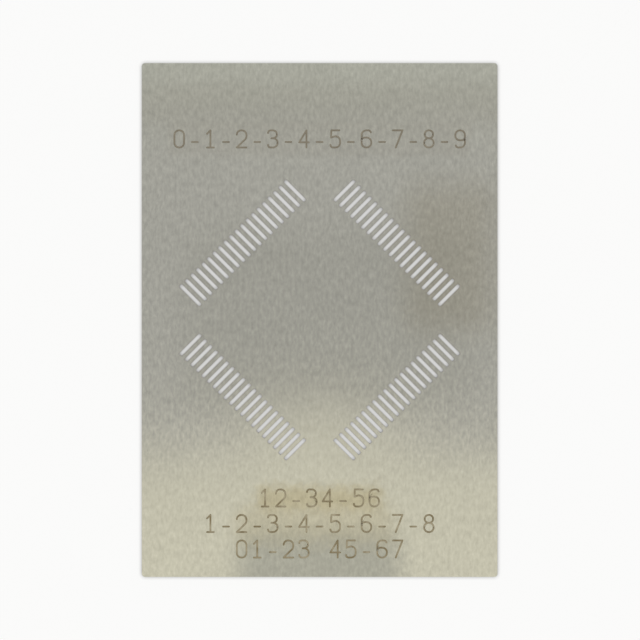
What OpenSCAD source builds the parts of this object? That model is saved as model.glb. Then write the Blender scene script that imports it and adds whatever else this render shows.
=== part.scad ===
// Solder paste stencil: one laser-cut stainless foil, pierced with the aperture
// pattern of a square gull-wing package that stands on its point. Millimetres.
// The origin is the centre of the face that lies on the circuit board, and +Z
// points to the squeegee side.

/* [Foil] */
// Width of the foil, along X
foil_w = 22.86; // [20:0.01:60]
// Length of the foil, along Y
foil_l = 33.02; // [22:0.01:80]
// Thickness of the foil, which sets the depth of the paste
foil_t = 0.127; // [0.08:0.001:0.25]
// Radius of the foil's four corners
corner_r = 0.2; // [0.05:0.05:2]

/* [Footprint] */
// Apertures in each of the four rows
row_count = 20; // [4:1:24]
// Spacing of the apertures along a row, centre to centre
pitch = 0.5; // [0.4:0.05:0.6]
// From the last aperture of a row to the centre line of the next row
corner_reach = 2.25; // [1.5:0.05:3]
// Turn of the footprint on the foil, in degrees
footprint_turn = 45; // [0:5:90]

/* [Apertures] */
// Width of an aperture at the squeegee face
aperture_w = 0.23; // [0.18:0.01:0.3]
// Length of an aperture at the squeegee face
aperture_l = 1.85; // [1:0.05:2.2]
// Radius of an aperture's corners at the squeegee face
aperture_corner_r = 0.06; // [0.03:0.005:0.08]
// How much further out each aperture wall stands at the board face
wall_flare = 0.008; // [0.002:0.001:0.02]

/* [Hidden] */
sides = 4;
row_l = (row_count - 1) * pitch;
row_span = row_l + 2 * corner_reach;    // between the centre lines of opposite rows
over_cut = foil_t / 4;                  // how far a cutter runs past each face
cut_low = -over_cut;
cut_high = foil_t + over_cut;
flare_low = flare_at(cut_low);
flare_high = flare_at(cut_high);
foil_color = "#A3A297";                 // bare rolled stainless steel
$fn = 48;

// How far the aperture walls stand outside their squeegee-face outline at height z:
// nothing at the squeegee face, and wall_flare at the board face
function flare_at(z) = wall_flare * (1 - z / foil_t);

// A rectangle with round corners, centred on the origin
module rounded_rectangle(w, l, r) {
    square([w - 2 * r, l], center = true);
    square([w, l - 2 * r], center = true);
    for (x = [-1, 1], y = [-1, 1])
        translate([x * (w / 2 - r), y * (l / 2 - r)])
            circle(r);
}

// A straight bar along Y whose two sides lean with the flare. half_w is half its
// width at the squeegee face
module flared_bar(half_w, length) {
    rotate([90, 0, 0])
        linear_extrude(length, center = true)
            polygon([
                [-half_w - flare_low, cut_low],
                [half_w + flare_low, cut_low],
                [half_w + flare_high, cut_high],
                [-half_w - flare_high, cut_high]
            ]);
}

// The cutter for one aperture, long along Y: two crossed bars make its four
// leaning walls, and a cone in each corner rounds it at every height
module aperture_cutter() {
    corner_x = aperture_w / 2 - aperture_corner_r;
    corner_y = aperture_l / 2 - aperture_corner_r;
    flared_bar(aperture_w / 2, 2 * corner_y);
    rotate(90)
        flared_bar(aperture_l / 2, 2 * corner_x);
    for (x = [-1, 1], y = [-1, 1])
        translate([x * corner_x, y * corner_y, cut_low])
            cylinder(
                h = cut_high - cut_low,
                r1 = aperture_corner_r + flare_low,
                r2 = aperture_corner_r + flare_high
            );
}

// One row of aperture cutters along X, on the +Y side of the footprint
module aperture_row() {
    for (i = [0 : row_count - 1])
        translate([i * pitch - row_l / 2, row_span / 2, 0])
            aperture_cutter();
}

module stencil_foil() {
    color(foil_color)
        difference() {
            linear_extrude(foil_t)
                rounded_rectangle(foil_w, foil_l, corner_r);
            for (side = [0 : sides - 1])
                rotate(footprint_turn + side * 360 / sides)
                    aperture_row();
        }
}

stencil_foil();
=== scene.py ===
"""Looks of a small solder paste stencil: a laser-cut stainless foil with engraved figures.

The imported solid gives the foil, its apertures and its sizes. This script engraves plain
figures in a copy of it, gives every surface its finish, and sets up the stage.
"""

import math

import bmesh
import bpy
from bpy.props import FloatProperty, FloatVectorProperty, IntProperty, PointerProperty, StringProperty
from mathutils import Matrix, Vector


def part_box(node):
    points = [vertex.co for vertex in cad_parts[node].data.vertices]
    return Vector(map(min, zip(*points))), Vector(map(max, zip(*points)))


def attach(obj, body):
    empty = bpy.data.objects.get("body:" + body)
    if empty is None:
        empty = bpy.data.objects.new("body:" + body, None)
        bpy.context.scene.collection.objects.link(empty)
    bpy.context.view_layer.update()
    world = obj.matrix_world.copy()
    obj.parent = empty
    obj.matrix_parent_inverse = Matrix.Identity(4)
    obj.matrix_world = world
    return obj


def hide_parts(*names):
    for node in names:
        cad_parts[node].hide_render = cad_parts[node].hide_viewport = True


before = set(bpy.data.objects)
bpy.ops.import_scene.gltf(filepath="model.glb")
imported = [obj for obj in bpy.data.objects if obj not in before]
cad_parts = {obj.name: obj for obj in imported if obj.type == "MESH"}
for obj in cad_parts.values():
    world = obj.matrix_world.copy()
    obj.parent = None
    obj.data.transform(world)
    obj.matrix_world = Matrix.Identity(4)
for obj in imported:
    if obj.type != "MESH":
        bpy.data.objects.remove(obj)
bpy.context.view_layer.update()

bl_info = {
    "name": "Solder Paste Stencil",
    "version": (1, 0, 0),
    "blender": (4, 5, 0),
    "location": "View3D > Sidebar > Stencil",
    "description": "Engraves and finishes a laser-cut stencil foil and sets up its stage",
    "category": "Object",
}

MM = 0.001
FOIL_NODE = "stencil_foil"
FOIL_PIECE = "engraved_foil"
GROOVE_MARK = "laser_groove"
GRAIN_MAP = "grain"
LOW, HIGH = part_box(FOIL_NODE)

# Points of the foil that are closer than this are one point.
MERGE = 0.0001 * MM
# Most of a noise texture's values lie between these two.
NOISE_LOW, NOISE_HIGH = 0.25, 0.75
# Straight pieces in the round bulge of the front panel.
ARCH_STEPS = 24


def linear(hex_colour):
    """The linear RGB of an sRGB hex colour."""
    channels = [int(hex_colour[i:i + 2], 16) / 255 for i in (0, 2, 4)]
    return [c / 12.92 if c <= 0.04045 else ((c + 0.055) / 1.055) ** 2.4 for c in channels]


def length_value(name, description, value):
    """A length property, given in millimetres and kept in metres."""
    return FloatProperty(
        name=name, description=description, default=value * MM,
        min=0, unit="LENGTH", subtype="DISTANCE", precision=5)


def colour_value(name, description, hex_colour):
    """A colour property, given as an sRGB hex value and kept linear."""
    return FloatVectorProperty(
        name=name, description=description, default=linear(hex_colour),
        size=3, min=0, max=1, subtype="COLOR")


class FoilFinish(bpy.types.PropertyGroup):
    """Sizes and colours of the foil's finish."""

    steel: colour_value("Steel", "Bare rolled stainless steel", "B5B4AC")
    cut_wall: colour_value("Cut wall", "Steel that the laser has just melted", "8F8B80")
    oxide: colour_value("Heat tint", "Thin brown oxide beside a laser cut", "857B76")
    groove_dark: colour_value("Groove, dark", "Oxide where the laser dwelt", "84785E")
    groove_pale: colour_value("Groove, pale", "Oxide where the laser passed fast", "A79E88")
    groove_grey: colour_value("Groove, grey", "Thinner oxide of the upper line", "857F76")
    grey_share: FloatProperty(
        name="Grey share", description="How much of the upper line's colour is the grey oxide",
        default=0.7, min=0, max=1, subtype="FACTOR")
    oxide_patch: length_value("Oxide patch", "Size of a patch of dark or pale oxide", 0.5)
    roughness: FloatProperty(
        name="Roughness", description="Gloss of the rolled face", default=0.145,
        min=0, max=1, subtype="FACTOR")
    roughness_swing: FloatProperty(
        name="Roughness swing", description="How much the grain changes the gloss",
        default=0.03, min=0, max=1)
    grain_width: length_value("Grain width", "Width of one rolling streak", 0.2)
    grain_length: length_value("Grain length", "Length of one rolling streak", 0.45)
    grain_swing: FloatProperty(
        name="Grain swing", description="How much the grain lightens and darkens the steel",
        default=0.125, min=0, max=1)
    grain_depth: length_value("Grain depth", "Depth of the rolling streaks", 0.002)
    mottle_size: length_value("Mottle size", "Size of a broad patch of the steel", 2.857)
    mottle_swing: FloatProperty(
        name="Mottle swing", description="How much broad patches lighten and darken the steel",
        default=0.03, min=0, max=1)
    blotch_size: length_value("Blotch size", "Size of a small blotch of the steel", 0.4545)
    blotch_swing: FloatProperty(
        name="Blotch swing", description="How much small blotches lighten and darken the steel",
        default=0.05, min=0, max=1)
    # This wander also moves the edges of the painted reflection patches, not only the heat tint.
    edge_wander: length_value("Edge wander", "How far the edge of a stain wanders", 0.6)
    tint_reach: length_value("Tint reach", "How far the heat tint runs from an aperture", 0.06)
    tint_share: FloatProperty(
        name="Tint share", description="How strong the heat tint is at an aperture's edge",
        default=0.35, min=0, max=1, subtype="FACTOR")
    stripe_width: length_value("Stripe width", "Width of one laser pulse's mark", 0.02)
    stripe_length: length_value("Stripe length", "Length of one laser pulse's mark", 0.3)
    stripe_depth: length_value("Stripe depth", "Depth of one laser pulse's mark", 0.003)


class ApertureLayout(bpy.types.PropertyGroup):
    """Where the apertures are, for the heat tint round them."""

    row_count: IntProperty(
        name="Apertures per row", description="Apertures in each row", default=20, min=2)
    pitch: length_value("Pitch", "Spacing of the apertures along a row", 0.5)
    row_span: length_value("Row span", "Between the centre lines of opposite rows", 14.0)
    width: length_value("Aperture width", "Width of an aperture", 0.23)
    length: length_value("Aperture length", "Length of an aperture", 1.85)
    corner: length_value("Aperture corner", "Radius of an aperture's corners", 0.06)
    turn: FloatProperty(
        name="Turn", description="Turn of the rows on the foil",
        default=math.radians(45), unit="ROTATION", subtype="ANGLE")


class Engraving(bpy.types.PropertyGroup):
    """The engraved figures and the laser groove that draws them."""

    top_line: StringProperty(
        name="Top line", description="Figures above the apertures", default="0-1-2-3-4-5-6-7-8-9")
    lower_lines: StringProperty(
        name="Lower lines", description="Figures below the apertures, one line after each bar",
        default="12-34-56|1-2-3-4-5-6-7-8|01-23 45-67")
    top_height: length_value("Top line height", "From the foil's centre up to the top line", 11.64)
    lower_drop: length_value("Lower lines drop", "From the foil's centre down to the next line", 11.44)
    line_feed: length_value("Line feed", "Between two of the lower lines", 1.64)
    advance: length_value("Advance", "From one figure to the next", 1.003)
    figure_w: length_value("Figure width", "Between a figure's outer strokes", 0.62)
    figure_h: length_value("Figure height", "Between a figure's lowest and highest strokes", 1.1)
    groove_w: length_value("Groove width", "Width of the laser groove", 0.12)
    groove_depth: length_value("Groove depth", "Depth of the laser groove", 0.02)
    bend_radius: length_value("Bend radius", "Radius of a figure's rounded bends", 0.3)
    bend_steps: IntProperty(
        name="Bend steps", description="Points on each rounded bend of a figure", default=5, min=1)
    groove_sides: IntProperty(
        name="Groove sides", description="Sides of the tool that cuts the groove", default=10, min=4)


class StageLook(bpy.types.PropertyGroup):
    """Camera, floor and light."""

    lens: FloatProperty(name="Lens", description="Focal length in millimetres", default=100, min=10)
    frame_w: length_value("Frame width", "Width that the picture covers at the foil", 41.14)
    aim_x: FloatProperty(
        name="Aim X", description="Where the camera looks, across the foil",
        default=0.022 * MM, unit="LENGTH", subtype="DISTANCE", precision=5)
    floor: colour_value("Board", "Matt white board", "F0F0F0")
    floor_share: FloatProperty(
        name="White share", description="How much of the board's white is even, not lit",
        default=0.8, min=0, max=1, subtype="FACTOR")
    shadow_reach: length_value("Shadow reach", "How close a wall darkens the board", 0.25)
    board_half: length_value("Board half width", "Half the width of board and ceiling", 1200)
    board_gap: length_value("Board gap", "Air between the board and the foil", 0.002)
    ceiling_h: length_value("Ceiling height", "Height of the lit ceiling", 300)
    ceiling: colour_value("Ceiling", "Even light of the ceiling", "E3E3E1")
    front_panel: colour_value("Front panel", "Colour of the front panel", "FFFCEC")
    back_panel: colour_value("Back panel", "Colour of the back panel", "FDFFF8")
    front_level: FloatProperty(
        name="Front level", description="Brightness of the front panel", default=1.21, min=0)
    back_level: FloatProperty(
        name="Back level", description="Brightness of the back panel", default=0.86, min=0)
    panel_reach: length_value("Panel reach", "How far the panels run from overhead", 200)
    front_edge: length_value("Front edge", "From overhead to the front panel", 31.5)
    back_edge: length_value("Back edge", "From overhead to the back panel", 49)
    arch_radius: length_value("Arch radius", "Radius of the bulge in the front panel", 20)
    arch_centre: length_value("Arch centre", "From overhead to the bulge's centre", 37)
    panel_drop: length_value("Panel drop", "How far the panels hang below the ceiling", 1)
    lamp_out: length_value("Lamp distance", "From the foil out to each side lamp", 220)
    lamp_h: length_value("Lamp height", "Height of the side lamps", 200)
    lamp_radius: length_value("Lamp radius", "Radius of the side lamps", 60)
    side_lamp: FloatProperty(
        name="Side lamps", description="Brightness of the two side lamps", default=1.5, min=0)


def add_node(tree, kind, settings=None, **links):
    """Adds a node to a tree, with its settings by name and its inputs by name or number.

    An input is linked where it is given a socket, and set where it is given a value.
    Names are written with _ for a space, and in0, in1 and so on count the sockets.
    """
    node = tree.nodes.new(kind)
    for name, value in (settings or {}).items():
        setattr(node, name, value)
    for name, value in links.items():
        counted = name[2:].isdigit() and name.startswith("in")
        socket = node.inputs[int(name[2:]) if counted else name.replace("_", " ")]
        if isinstance(value, bpy.types.NodeSocket):
            tree.links.new(value, socket)
        else:
            socket.default_value = value
    return node


def material(name):
    """An empty node material and its output node."""
    made = bpy.data.materials.new(name)
    made.use_nodes = True
    made.node_tree.nodes.clear()
    return made, made.node_tree


# Tints laid on the bare steel: heat tint and haze round the figures, a darker band above them, and
# painted darker reflection in the middle, at the right and below the last line, standing in for the
# sheen of a slightly wavy foil. For each: the middle and half size of its patch, how soft its edge is,
# all in millimetres, and the tint that it lays on the bare steel.
TINT_AND_REFLECTION_PATCHES = (
    # Painted darker reflection over the middle, standing in for the sheen of a slightly wavy foil.
    ("dull middle of the face", (0.5, 0), (7, 3.5), 4.5, "F6F6F5"),
    # The steel is a little darker in a band above the upper figures.
    ("darker band above the upper figures", (0, 13.9), (12, 0.5), 1.6, "F7F6F5"),
    ("haze round the upper figures", (0, 11.65), (9.4, 0.8), 0.6, "FBFAF9"),
    ("heat round the first lower line", (0, -11.44), (3.4, 0.15), 1.2, "F2ECDD"),
    ("heat round the lower figures", (-0.3, -13.2), (4.2, 0.4), 1.8, "F6F3EC"),
    # Painted reflection of something dark above the foil: a darker, cooler patch below the last line.
    ("painted reflection of a dark thing below the last line", (0, -16.4), (3.8, 1.2), 2.8, "DBDDE1"),
    # Painted darker reflection at the right, standing in for the sheen of a slightly wavy foil.
    ("dull strip at the right", (8.4, 4.0), (1.2, 3.0), 3.4, "F3F0EA"),
)


def patch_mask(tree, place, middle, half, edge):
    """1 on a soft-edged rectangle of the face, and 0 away from it."""
    offset = add_node(
        tree, "ShaderNodeVectorMath", {"operation": "SUBTRACT"}, in0=place, in1=(*middle, 0))
    offset = add_node(
        tree, "ShaderNodeVectorMath", {"operation": "ABSOLUTE"}, in0=offset.outputs[0])
    past = add_node(
        tree, "ShaderNodeVectorMath", {"operation": "SUBTRACT"},
        in0=offset.outputs[0], in1=(*half, 0))
    past = add_node(
        tree, "ShaderNodeVectorMath", {"operation": "MAXIMUM"}, in0=past.outputs[0], in1=(0, 0, 0))
    past = add_node(tree, "ShaderNodeVectorMath", {"operation": "LENGTH"}, in0=past.outputs[0])
    return add_node(
        tree, "ShaderNodeMapRange", {"interpolation_type": "SMOOTHSTEP"},
        Value=past.outputs["Value"], From_Min=0.0, From_Max=edge, To_Min=1.0,
        To_Max=0.0).outputs[0]


def varied(tree, colour, noise, swing):
    """A colour made lighter and darker by a noise: swing is the change either way."""
    level = add_node(
        tree, "ShaderNodeMapRange", Value=noise, From_Min=NOISE_LOW, From_Max=NOISE_HIGH,
        To_Min=1 - swing, To_Max=1 + swing).outputs[0]
    return add_node(
        tree, "ShaderNodeVectorMath", {"operation": "SCALE"}, in0=colour, Scale=level).outputs[0]


def aperture_distance(tree, place, layout):
    """How far a point of the face is from the nearest aperture's edge, in millimetres.

    The four rows are folded onto one, and then the apertures of that row onto one.
    """
    pitch = layout.pitch / MM
    corner = layout.corner / MM
    turned = add_node(
        tree, "ShaderNodeVectorRotate", {"rotation_type": "Z_AXIS"},
        Vector=place, Angle=-layout.turn)
    folded = add_node(
        tree, "ShaderNodeVectorMath", {"operation": "ABSOLUTE"}, in0=turned.outputs[0])
    split = add_node(tree, "ShaderNodeSeparateXYZ", Vector=folded.outputs[0]).outputs
    along = add_node(
        tree, "ShaderNodeMath", {"operation": "MINIMUM"}, in0=split["X"], in1=split["Y"])
    outward = add_node(
        tree, "ShaderNodeMath", {"operation": "MAXIMUM"}, in0=split["X"], in1=split["Y"])
    before = add_node(
        tree, "ShaderNodeMath", {"operation": "SNAP"}, in0=along.outputs[0], in1=pitch)
    before = add_node(
        tree, "ShaderNodeMath", {"operation": "MINIMUM"},
        in0=before.outputs[0], in1=(layout.row_count / 2 - 1) * pitch)
    middle = add_node(
        tree, "ShaderNodeMath", {"operation": "ADD"}, in0=before.outputs[0], in1=pitch / 2)
    point = add_node(
        tree, "ShaderNodeCombineXYZ", X=along.outputs[0], Y=outward.outputs[0])
    centre = add_node(
        tree, "ShaderNodeCombineXYZ", X=middle.outputs[0], Y=layout.row_span / MM / 2)
    offset = add_node(
        tree, "ShaderNodeVectorMath", {"operation": "SUBTRACT"},
        in0=point.outputs[0], in1=centre.outputs[0])
    offset = add_node(
        tree, "ShaderNodeVectorMath", {"operation": "ABSOLUTE"}, in0=offset.outputs[0])
    past = add_node(
        tree, "ShaderNodeVectorMath", {"operation": "SUBTRACT"}, in0=offset.outputs[0],
        in1=(layout.width / MM / 2 - corner, layout.length / MM / 2 - corner, 0))
    past = add_node(
        tree, "ShaderNodeVectorMath", {"operation": "MAXIMUM"}, in0=past.outputs[0], in1=(0, 0, 0))
    past = add_node(tree, "ShaderNodeVectorMath", {"operation": "LENGTH"}, in0=past.outputs[0])
    return add_node(
        tree, "ShaderNodeMath", {"operation": "SUBTRACT"},
        in0=past.outputs["Value"], in1=corner).outputs[0]


def rolled_stainless(finish, layout):
    """Cold-rolled stainless foil: a satin face with a fine grain along its length."""
    made, tree = material("rolled_stainless")
    coords = add_node(tree, "ShaderNodeTexCoord")
    place = add_node(
        tree, "ShaderNodeVectorMath", {"operation": "MULTIPLY"},
        in0=coords.outputs["Object"], in1=(1 / MM, 1 / MM, 0)).outputs[0]
    grain_place = add_node(
        tree, "ShaderNodeMapping",
        Vector=place, Scale=(MM / finish.grain_width, MM / finish.grain_length, 1)).outputs[0]
    grain = add_node(
        tree, "ShaderNodeTexNoise", Vector=grain_place, Scale=1.0, Detail=2.0,
        Roughness=0.6).outputs["Fac"]
    mottle = add_node(
        tree, "ShaderNodeTexNoise", Vector=place, Scale=MM / finish.mottle_size, Detail=4.0,
        Roughness=0.55).outputs["Fac"]
    blotch = add_node(
        tree, "ShaderNodeTexNoise", Vector=place, Scale=MM / finish.blotch_size, Detail=3.0,
        Roughness=0.6)
    colour = varied(tree, tuple(finish.steel), grain, finish.grain_swing)
    colour = varied(tree, colour, mottle, finish.mottle_swing)
    colour = varied(tree, colour, blotch.outputs["Fac"], finish.blotch_swing)
    wander = finish.edge_wander / MM
    drift = add_node(
        tree, "ShaderNodeVectorMath", {"operation": "MULTIPLY_ADD"},
        in0=blotch.outputs["Color"], in1=(2 * wander, 2 * wander, 0), in2=place).outputs[0]
    drift = add_node(
        tree, "ShaderNodeVectorMath", {"operation": "SUBTRACT"},
        in0=drift, in1=(wander, wander, 0)).outputs[0]
    # Heat tint round the figures, and painted darker reflection patches, multiplied into the steel's
    # colour.
    for _, middle, half, edge, tint in TINT_AND_REFLECTION_PATCHES:
        mask = patch_mask(tree, drift, middle, half, edge)
        colour = add_node(
            tree, "ShaderNodeMix", {"data_type": "RGBA", "blend_type": "MULTIPLY"},
            in0=mask, in6=colour, in7=(*linear(tint), 1)).outputs[2]
    heat = add_node(
        tree, "ShaderNodeMapRange", {"interpolation_type": "SMOOTHSTEP"},
        Value=aperture_distance(tree, place, layout), From_Min=0.0,
        From_Max=finish.tint_reach / MM, To_Min=finish.tint_share, To_Max=0.0).outputs[0]
    colour = add_node(
        tree, "ShaderNodeMix", {"data_type": "RGBA"}, in0=heat, in6=colour,
        in7=(*finish.oxide, 1)).outputs[2]
    gloss = add_node(
        tree, "ShaderNodeMapRange", Value=grain, From_Min=NOISE_LOW, From_Max=NOISE_HIGH,
        To_Min=finish.roughness - finish.roughness_swing,
        To_Max=finish.roughness + finish.roughness_swing).outputs[0]
    relief = add_node(
        tree, "ShaderNodeBump", Strength=0.2, Distance=finish.grain_depth,
        Height=grain).outputs[0]
    across = add_node(
        tree, "ShaderNodeTangent", {"direction_type": "UV_MAP", "uv_map": GRAIN_MAP})
    shader = add_node(
        tree, "ShaderNodeBsdfPrincipled", Base_Color=colour, Metallic=1.0, Roughness=gloss,
        Anisotropic=0.5, Normal=relief, Tangent=across.outputs[0])
    add_node(tree, "ShaderNodeOutputMaterial", Surface=shader.outputs[0])
    return made


def laser_cut_wall(finish):
    """Wall left by the cutting laser: dull, striped from face to face by its pulses."""
    made, tree = material("laser_cut_wall")
    coords = add_node(tree, "ShaderNodeTexCoord")
    stripe_place = add_node(
        tree, "ShaderNodeMapping", Vector=coords.outputs["Object"],
        Scale=(
            1 / finish.stripe_width, 1 / finish.stripe_width,
            1 / finish.stripe_length)).outputs[0]
    stripe = add_node(
        tree, "ShaderNodeTexNoise", Vector=stripe_place, Scale=1.0, Detail=1.0).outputs["Fac"]
    level = add_node(
        tree, "ShaderNodeMapRange", Value=stripe, From_Min=0.3, From_Max=0.7, To_Min=0.8,
        To_Max=1.1).outputs[0]
    colour = add_node(
        tree, "ShaderNodeVectorMath", {"operation": "SCALE"},
        Vector=tuple(finish.cut_wall), Scale=level).outputs[0]
    relief = add_node(
        tree, "ShaderNodeBump", Strength=0.5, Distance=finish.stripe_depth,
        Height=stripe).outputs[0]
    shader = add_node(
        tree, "ShaderNodeBsdfPrincipled", Base_Color=colour, Metallic=1.0, Roughness=0.45,
        Normal=relief)
    add_node(tree, "ShaderNodeOutputMaterial", Surface=shader.outputs[0])
    return made


def engraved_oxide(finish):
    """Steel darkened in the laser groove: a dull brown oxide, patchy along the stroke.

    The upper line has a thinner and greyer one.
    """
    made, tree = material("engraved_oxide")
    coords = add_node(tree, "ShaderNodeTexCoord")
    patch = add_node(
        tree, "ShaderNodeTexNoise", Vector=coords.outputs["Object"],
        Scale=1 / finish.oxide_patch, Detail=2.0).outputs["Fac"]
    share = add_node(
        tree, "ShaderNodeMapRange", Value=patch, From_Min=0.35, From_Max=0.65).outputs[0]
    colour = add_node(
        tree, "ShaderNodeMix", {"data_type": "RGBA"}, in0=share,
        in6=(*finish.groove_dark, 1), in7=(*finish.groove_pale, 1)).outputs[2]
    split = add_node(tree, "ShaderNodeSeparateXYZ", Vector=coords.outputs["Object"]).outputs
    upper = add_node(
        tree, "ShaderNodeMapRange", Value=split["Y"], From_Min=-MM, From_Max=MM, To_Min=0.0,
        To_Max=finish.grey_share).outputs[0]
    colour = add_node(
        tree, "ShaderNodeMix", {"data_type": "RGBA"}, in0=upper, in6=colour,
        in7=(*finish.groove_grey, 1)).outputs[2]
    shader = add_node(
        tree, "ShaderNodeBsdfPrincipled", Base_Color=colour, Metallic=0.7, Roughness=0.5)
    add_node(tree, "ShaderNodeOutputMaterial", Surface=shader.outputs[0])
    return made


# The figures as laser paths in a box of 1 by 1, from its lower left corner. A path runs
# from point to point; its bends are rounded, and it closes where the last point is the first.
FIGURES = {
    "0": [[(0, 0.5), (0, 0), (1, 0), (1, 1), (0, 1), (0, 0.5)]],
    "1": [[(0.15, 0.8), (0.5, 1)], [(0.5, 1), (0.5, 0)], [(0.15, 0), (0.85, 0)]],
    "2": [[(0, 0.75), (0, 1), (1, 1), (1, 0.55), (0, 0)], [(0, 0), (1, 0)]],
    "3": [[(0, 0.85), (0, 1), (0.92, 1), (0.92, 0.54), (0.35, 0.54)],
          [(0.35, 0.54), (1, 0.54), (1, 0), (0, 0), (0, 0.15)]],
    "4": [[(0.75, 0), (0.75, 1)], [(0.75, 1), (0, 0.3)], [(0, 0.3), (1, 0.3)]],
    "5": [[(0.92, 1), (0.1, 1)], [(0.1, 1), (0.06, 0.58)],
          [(0.06, 0.58), (0.5, 0.66), (1, 0.6), (1, 0), (0, 0), (0, 0.15)]],
    "6": [[(0.95, 0.88), (0.9, 1), (0, 1), (0, 0), (1, 0), (1, 0.58), (0, 0.58), (0, 0.4)]],
    "7": [[(0, 1), (1, 1)], [(1, 1), (0.3, 0)]],
    "8": [[(0.5, 0.54), (0.06, 0.54), (0.06, 1), (0.94, 1), (0.94, 0.54), (0.5, 0.54)],
          [(0.5, 0.54), (0, 0.54), (0, 0), (1, 0), (1, 0.54), (0.5, 0.54)]],
    "9": [[(0.05, 0.12), (0.1, 0), (1, 0), (1, 1), (0, 1), (0, 0.42), (1, 0.42), (1, 0.6)]],
    "-": [[(0.2, 0.32), (0.8, 0.32)]],
    " ": [],
}


def engraving_lines(engraving):
    """Each line of figures with the height of its middle on the foil."""
    yield engraving.top_line, engraving.top_height
    for number, text in enumerate(engraving.lower_lines.split("|")):
        yield text, -engraving.lower_drop - number * engraving.line_feed


def laser_paths(engraving):
    """A mesh of bare edges along every stroke, centred on the foil at its upper face."""
    made = bmesh.new()
    for text, middle in engraving_lines(engraving):
        first = -(len(text) - 1) * engraving.advance / 2
        for number, figure in enumerate(text):
            left = first + number * engraving.advance - engraving.figure_w / 2
            foot = middle - engraving.figure_h / 2
            for stroke in FIGURES[figure]:
                closed = stroke[0] == stroke[-1]
                points = stroke[:-1] if closed else stroke
                verts = [
                    made.verts.new((
                        left + x * engraving.figure_w, foot + y * engraving.figure_h, HIGH.z))
                    for x, y in points]
                for start, end in zip(verts, verts[1:] + verts[:closed]):
                    made.edges.new((start, end))
    mesh = bpy.data.meshes.new("laser_paths")
    made.to_mesh(mesh)
    made.free()
    return bpy.data.objects.new("laser_paths", mesh)


def groove_tool(tree, given):
    """Nodes that make a rounded cutter along each laser path, with a ball at its ends."""
    half_w = add_node(
        tree, "ShaderNodeMath", {"operation": "MULTIPLY"},
        in0=given["Groove Width"], in1=0.5).outputs[0]
    spot = add_node(
        tree, "ShaderNodeCombineXYZ", X=half_w, Y=half_w, Z=given["Groove Depth"]).outputs[0]
    section = add_node(
        tree, "ShaderNodeCombineXYZ", X=half_w, Y=given["Groove Depth"], Z=1.0).outputs[0]
    paths = add_node(tree, "GeometryNodeObjectInfo", Object=given["Paths"])
    curves = add_node(tree, "GeometryNodeMeshToCurve", Mesh=paths.outputs["Geometry"])
    rounded = add_node(
        tree, "GeometryNodeFilletCurve", {"mode": "POLY"}, Curve=curves.outputs[0],
        Count=given["Bend Steps"], Radius=given["Bend Radius"], Limit_Radius=True)
    upright = add_node(
        tree, "GeometryNodeSetCurveNormal", {"mode": "Z_UP"}, Curve=rounded.outputs[0])
    ring = add_node(
        tree, "GeometryNodeCurvePrimitiveCircle", Resolution=given["Groove Sides"], Radius=1.0)
    ring = add_node(
        tree, "GeometryNodeTransform", Geometry=ring.outputs[0], Scale=section)
    sweep = add_node(
        tree, "GeometryNodeCurveToMesh", Curve=upright.outputs[0],
        Profile_Curve=ring.outputs[0], Fill_Caps=True)
    ends = add_node(tree, "GeometryNodeCurveEndpointSelection")
    ball = add_node(
        tree, "GeometryNodeMeshUVSphere", Segments=given["Groove Sides"],
        Rings=given["Groove Sides"], Radius=1.0)
    balls = add_node(
        tree, "GeometryNodeInstanceOnPoints", Points=upright.outputs[0],
        Selection=ends.outputs[0], Instance=ball.outputs[0], Scale=spot)
    tool = add_node(tree, "GeometryNodeJoinGeometry")
    tree.links.new(sweep.outputs[0], tool.inputs[0])
    tree.links.new(balls.outputs[0], tool.inputs[0])
    tool = add_node(tree, "GeometryNodeRealizeInstances", Geometry=tool.outputs[0])
    tool = add_node(
        tree, "GeometryNodeStoreNamedAttribute", {"data_type": "BOOLEAN", "domain": "FACE"},
        Geometry=tool.outputs[0], Name=GROOVE_MARK, Value=True)
    island = add_node(tree, "GeometryNodeInputMeshIsland")
    return add_node(
        tree, "GeometryNodeSplitToInstances", Geometry=tool.outputs[0],
        Group_ID=island.outputs["Island Index"]).outputs["Instances"]


def groove_tree():
    """Geometry nodes that cut a groove along each laser path and give it its oxide.

    They also lay the grain's map over the foil: it runs across the foil and along it.
    """
    tree = bpy.data.node_groups.new("laser_groove", "GeometryNodeTree")
    face = tree.interface
    face.new_socket("Geometry", in_out="OUTPUT", socket_type="NodeSocketGeometry")
    for name, kind in (
            ("Geometry", "NodeSocketGeometry"), ("Paths", "NodeSocketObject"),
            ("Groove Width", "NodeSocketFloat"), ("Groove Depth", "NodeSocketFloat"),
            ("Bend Radius", "NodeSocketFloat"), ("Bend Steps", "NodeSocketInt"),
            ("Groove Sides", "NodeSocketInt"), ("Oxide", "NodeSocketMaterial")):
        face.new_socket(name, in_out="INPUT", socket_type=kind)
    given = tree.nodes.new("NodeGroupInput").outputs
    cut = add_node(
        tree, "GeometryNodeMeshBoolean", {"operation": "DIFFERENCE", "solver": "MANIFOLD"},
        Mesh_1=given["Geometry"], Mesh_2=groove_tool(tree, given))
    cut = add_node(tree, "GeometryNodeTriangulate", Mesh=cut.outputs[0])
    place = add_node(tree, "GeometryNodeInputPosition")
    cut = add_node(
        tree, "GeometryNodeStoreNamedAttribute", {"data_type": "FLOAT2", "domain": "CORNER"},
        Geometry=cut.outputs[0], Name=GRAIN_MAP, Value=place.outputs[0])
    cut = add_node(tree, "GeometryNodeRealizeInstances", Geometry=cut.outputs[0])
    marked = add_node(
        tree, "GeometryNodeInputNamedAttribute", {"data_type": "BOOLEAN"}, Name=GROOVE_MARK)
    cut = add_node(
        tree, "GeometryNodeSetShadeSmooth", Geometry=cut.outputs[0],
        Selection=marked.outputs[0], Shade_Smooth=True)
    finished = add_node(
        tree, "GeometryNodeSetMaterial", Geometry=cut.outputs[0],
        Selection=marked.outputs[0], Material=given["Oxide"])
    add_node(tree, "NodeGroupOutput", Geometry=finished.outputs[0])
    return tree


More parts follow.
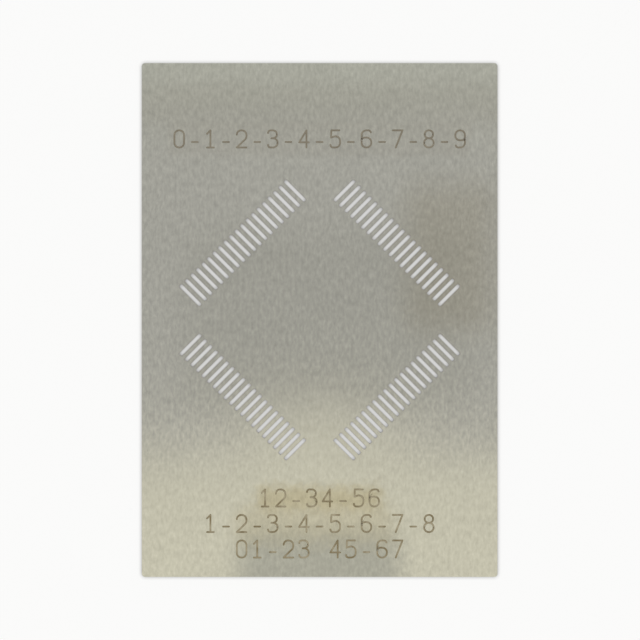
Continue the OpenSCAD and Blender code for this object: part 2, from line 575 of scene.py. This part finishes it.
def score_face(skin, engraving):
    """Cuts the upper face along lines between and across the figures, where nothing shows.

    The boolean can rebuild a facet wrongly where it holds several grooves, so each part
    of a figure gets facets of its own.
    """
    clear = engraving.line_feed / 2
    # The line across the figures runs just above their middle, clear of level strokes.
    levels = (-clear, 0.1 * clear, clear)
    for text, middle in engraving_lines(engraving):
        faces = [
            face for face in skin.faces if face.normal.z > 0.5
            and min(vert.co.y for vert in face.verts) < middle + clear
            and max(vert.co.y for vert in face.verts) > middle - clear]
        edges = {edge for face in faces for edge in face.edges}
        verts = {vert for face in faces for vert in face.verts}
        geometry = [*verts, *edges, *faces]
        half = len(text) * engraving.advance / 2
        cuts = [((0, middle + level, 0), (0, 1, 0)) for level in levels]
        cuts += [
            ((number * engraving.advance / 2 - half, 0, 0), (1, 0, 0))
            for number in range(2 * len(text) + 1)]
        for point, across in cuts:
            geometry = bmesh.ops.bisect_plane(
                skin, geom=geometry, dist=MERGE, plane_co=point, plane_no=across)["geom"]
    bmesh.ops.triangulate(skin, faces=[face for face in skin.faces if len(face.verts) > 3])


def closed_foil(face_finish, wall_finish, engraving):
    """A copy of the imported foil, merged into one closed skin and scored for the grooves."""
    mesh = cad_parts[FOIL_NODE].data.copy()
    if "custom_normal" in mesh.attributes:
        mesh.attributes.remove(mesh.attributes["custom_normal"])
    mesh.materials.clear()
    mesh.materials.append(face_finish)
    mesh.materials.append(wall_finish)
    skin = bmesh.new()
    skin.from_mesh(mesh)
    bmesh.ops.remove_doubles(skin, verts=skin.verts, dist=MERGE)
    for triangle in skin.faces:
        triangle.smooth = False
        triangle.material_index = 0 if abs(triangle.normal.z) > 0.5 else 1
    score_face(skin, engraving)
    skin.to_mesh(mesh)
    skin.free()
    return mesh


def plain_mesh(blank, name):
    """A new object that holds what a blank's modifiers make of it."""
    bpy.context.view_layer.update()
    seen = blank.evaluated_get(bpy.context.evaluated_depsgraph_get())
    mesh = bpy.data.meshes.new_from_object(seen)
    mesh.name = name
    made = bpy.data.objects.new(name, mesh)
    bpy.context.scene.collection.objects.link(made)
    return made


class STENCIL_OT_foil(bpy.types.Operator):
    """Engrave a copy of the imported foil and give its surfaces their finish"""

    bl_idname = "stencil.foil"
    bl_label = "Engraved foil"

    def execute(self, context):
        """Cuts the figures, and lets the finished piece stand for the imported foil."""
        scene = context.scene
        engraving = scene.stencil_engraving
        mesh = closed_foil(
            rolled_stainless(scene.stencil_finish, scene.stencil_layout),
            laser_cut_wall(scene.stencil_finish), engraving)
        blank = bpy.data.objects.new("foil_blank", mesh)
        paths = laser_paths(engraving)
        for helper in (blank, paths):
            scene.collection.objects.link(helper)
        cutter = blank.modifiers.new("Laser groove", "NODES")
        cutter.node_group = groove_tree()
        values = {
            "Paths": paths, "Groove Width": engraving.groove_w,
            "Groove Depth": engraving.groove_depth, "Bend Radius": engraving.bend_radius,
            "Bend Steps": engraving.bend_steps, "Groove Sides": engraving.groove_sides,
            "Oxide": engraved_oxide(scene.stencil_finish)}
        for item in cutter.node_group.interface.items_tree:
            if item.name in values:
                cutter[item.identifier] = values[item.name]
        foil = plain_mesh(blank, FOIL_PIECE)
        for helper in (blank, paths):
            bpy.data.objects.remove(helper)
        if len(foil.data.materials) < 3:
            raise RuntimeError("the laser grooves are missing from the foil")
        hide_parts(FOIL_NODE)
        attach(foil, "root")
        return {"FINISHED"}


def white_board(stage):
    """Matt white board: lit like paper, and white to the eye outside the object's shadow."""
    made, tree = material("matt_white_board")
    path = add_node(tree, "ShaderNodeLightPath").outputs
    seen = add_node(
        tree, "ShaderNodeMath", {"operation": "MAXIMUM"},
        in0=path["Is Camera Ray"], in1=path["Is Glossy Ray"])
    seen = add_node(
        tree, "ShaderNodeMath", {"operation": "MAXIMUM"},
        in0=seen.outputs[0], in1=path["Is Transmission Ray"])
    share = add_node(
        tree, "ShaderNodeMath", {"operation": "MULTIPLY"},
        in0=seen.outputs[0], in1=stage.floor_share)
    open_sky = add_node(
        tree, "ShaderNodeAmbientOcclusion", {"samples": 16}, Distance=stage.shadow_reach)
    board = add_node(tree, "ShaderNodeBsdfDiffuse", Color=(*stage.floor, 1))
    white = add_node(
        tree, "ShaderNodeEmission", Color=(1, 1, 1, 1), Strength=open_sky.outputs["AO"])
    mixed = add_node(
        tree, "ShaderNodeMixShader", in0=share.outputs[0], in1=board.outputs[0],
        in2=white.outputs[0])
    add_node(tree, "ShaderNodeOutputMaterial", Surface=mixed.outputs[0])
    return made


def plain_glow(name, colour, level):
    """A surface that only glows, such as a lit ceiling."""
    made, tree = material(name)
    glow = add_node(tree, "ShaderNodeEmission", Color=(*colour, 1), Strength=level)
    add_node(tree, "ShaderNodeOutputMaterial", Surface=glow.outputs[0])
    return made


def stage_sheet(name, half, height, facing, finish):
    """A square sheet of the stage."""
    corners = [(-half, -half), (half, -half), (half, half), (-half, half)][::facing]
    mesh = bpy.data.meshes.new(name)
    mesh.from_pydata([(x, y, height) for x, y in corners], [], [(0, 1, 2, 3)])
    mesh.materials.append(finish)
    sheet = bpy.data.objects.new(name, mesh)
    bpy.context.scene.collection.objects.link(sheet)
    return sheet


def lit_panel(name, points, height, finish):
    """A flat lit panel that faces down, with the given outline."""
    mesh = bpy.data.meshes.new(name)
    mesh.from_pydata([(x, y, height) for x, y in points], [], [range(len(points))])
    mesh.materials.append(finish)
    panel = bpy.data.objects.new(name, mesh)
    bpy.context.scene.collection.objects.link(panel)
    return panel


def arch_outline(stage):
    """The front panel: a broad sheet whose near edge bulges in a round arch."""
    depth = stage.arch_centre - stage.front_edge
    reach = math.sqrt(stage.arch_radius ** 2 - depth ** 2)
    start = math.atan2(depth, reach)
    sweep = math.pi - 2 * start
    turns = [start + sweep * step / ARCH_STEPS for step in range(ARCH_STEPS + 1)]
    arch = [
        (stage.arch_radius * math.cos(turn), stage.arch_radius * math.sin(turn) - stage.arch_centre)
        for turn in turns]
    far = stage.panel_reach
    return [(far, -stage.front_edge), *arch, (-far, -stage.front_edge), (-far, -far), (far, -far)]


def round_lamp(name, place, aim, radius, colour, level):
    """A round lamp whose face has the given brightness.

    Its power is that brightness times its area and pi.
    """
    lamp = bpy.data.lights.new(name, "AREA")
    lamp.shape = "DISK"
    lamp.size = 2 * radius
    lamp.color = colour
    lamp.energy = level * math.pi * math.pi * radius ** 2
    made = bpy.data.objects.new(name, lamp)
    made.location = place
    made.rotation_euler = (Vector(aim) - Vector(place)).to_track_quat("-Z", "Y").to_euler()
    bpy.context.scene.collection.objects.link(made)
    return made


class STENCIL_OT_stage(bpy.types.Operator):
    """Set up the white board, the room's light, the lamps and the camera"""

    bl_idname = "stencil.stage"
    bl_label = "Stage"

    def execute(self, context):
        """Builds everything that is not part of the object."""
        stage = context.scene.stencil_stage
        stage_sheet("board", stage.board_half, LOW.z - stage.board_gap, 1, white_board(stage))
        stage_sheet(
            "ceiling", stage.board_half, stage.ceiling_h, -1,
            plain_glow("lit_ceiling", stage.ceiling, 1.0))
        world = bpy.data.worlds.new("white_room")
        world.use_nodes = True
        world.node_tree.nodes.clear()
        sky = add_node(world.node_tree, "ShaderNodeBackground", Color=(1, 1, 1, 1))
        add_node(world.node_tree, "ShaderNodeOutputWorld", Surface=sky.outputs[0])
        context.scene.world = world
        panel_h = stage.ceiling_h - stage.panel_drop
        lit_panel(
            "front_panel", arch_outline(stage), panel_h,
            plain_glow("lit_front_panel", stage.front_panel, stage.front_level))
        far = stage.panel_reach
        lit_panel(
            "back_panel",
            [(-far, stage.back_edge), (far, stage.back_edge), (far, far), (-far, far)], panel_h,
            plain_glow("lit_back_panel", stage.back_panel, stage.back_level))
        for name, side in (("left_lamp", -1), ("right_lamp", 1)):
            round_lamp(
                name, (side * stage.lamp_out, 0, stage.lamp_h), (0, 0, 0), stage.lamp_radius,
                (1, 1, 1), stage.side_lamp)
        camera = bpy.data.cameras.new("camera")
        camera.lens = stage.lens
        camera.clip_start = 1 * MM
        reach = stage.frame_w * stage.lens / camera.sensor_width
        seat = bpy.data.objects.new("camera", camera)
        seat.location = (stage.aim_x, 0, HIGH.z + reach)
        context.scene.collection.objects.link(seat)
        context.scene.camera = seat
        context.scene.view_settings.view_transform = "Standard"
        return {"FINISHED"}


class STENCIL_PT_panel(bpy.types.Panel):
    """Lists the stencil's pieces and their values."""

    bl_idname = "STENCIL_PT_panel"
    bl_label = "Solder Paste Stencil"
    bl_space_type = "VIEW_3D"
    bl_region_type = "UI"
    bl_category = "Stencil"

    def draw(self, context):
        """Shows each operator, then the values of each group."""
        for operator in OPERATORS:
            self.layout.operator(operator.bl_idname)
        for name, group in GROUPS.items():
            box = self.layout.box()
            for value in group.__annotations__:
                box.prop(getattr(context.scene, name), value)


GROUPS = {
    "stencil_finish": FoilFinish, "stencil_layout": ApertureLayout,
    "stencil_engraving": Engraving, "stencil_stage": StageLook}
OPERATORS = (STENCIL_OT_foil, STENCIL_OT_stage)


def register():
    """Makes the groups, operators and panel known to Blender."""
    for made in (*GROUPS.values(), *OPERATORS, STENCIL_PT_panel):
        bpy.utils.register_class(made)
    for name, group in GROUPS.items():
        setattr(bpy.types.Scene, name, PointerProperty(type=group))


def unregister():
    """Takes the groups, operators and panel away again."""
    for name in GROUPS:
        delattr(bpy.types.Scene, name)
    for made in (STENCIL_PT_panel, *reversed(OPERATORS), *reversed(GROUPS.values())):
        bpy.utils.unregister_class(made)


def main():
    """Builds the pieces and the stage."""
    register()
    bpy.ops.stencil.foil()
    bpy.ops.stencil.stage()


if __name__ == "__main__":
    main()
